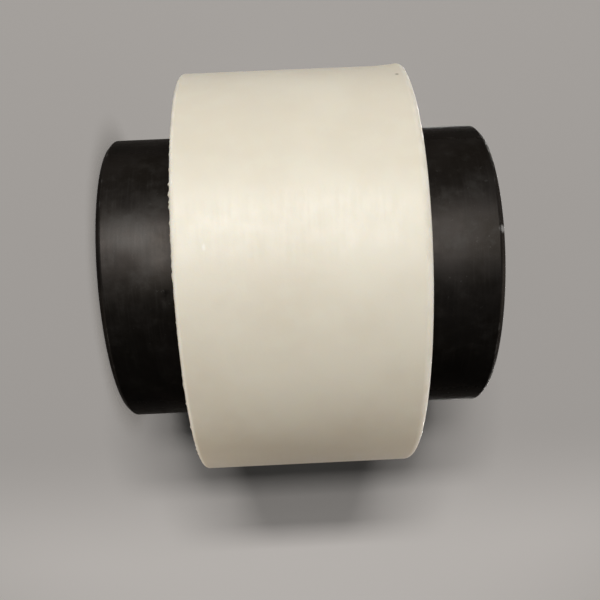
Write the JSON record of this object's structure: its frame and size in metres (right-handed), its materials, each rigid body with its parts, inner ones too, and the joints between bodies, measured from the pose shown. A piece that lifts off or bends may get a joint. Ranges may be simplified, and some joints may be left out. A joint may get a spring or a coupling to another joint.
{
  "type": "gear coupling",
  "caption": "Shaft coupling with crowned-tooth steel hubs in a toothed nylon sleeve, held by round wire rings.",
  "frame": {"origin": "centre of the end face of hub_a, on which the coupling stands", "axes": "+Z along the shaft axis from hub_a to hub_b; the keyways and set screws point 115 degrees round from +X towards +Y, away from the pictured side, which faces -Y"},
  "size_m": [0.095, 0.095, 0.0855],
  "materials": {
    "ivory_nylon": "satin, as moulded",
    "black_oxide_steel": "turned, black oxide, lightly oiled",
    "spring_wire": "drawn spring wire",
    "screw_steel": "black oxide"
  },
  "bodies": {
    "hub_a": {"hub_a": "black_oxide_steel", "set_screw_a": "screw_steel"},
    "sleeve": {"sleeve": "ivory_nylon", "retaining_ring_a": "spring_wire", "retaining_ring_b": "spring_wire"},
    "hub_b": {"hub_b": "black_oxide_steel", "set_screw_b": "screw_steel"}
  },
  "joints": [
    {"name": "sleeve_float", "type": "slide", "parent": "hub_a", "child": "sleeve", "axis": [0, 0, 1], "range_m": [-0.001, 0.001]},
    {"name": "hub_b_float", "type": "slide", "parent": "sleeve", "child": "hub_b", "axis": [0, 0, 1], "range_m": [-0.001, 0.001]}
  ]
}
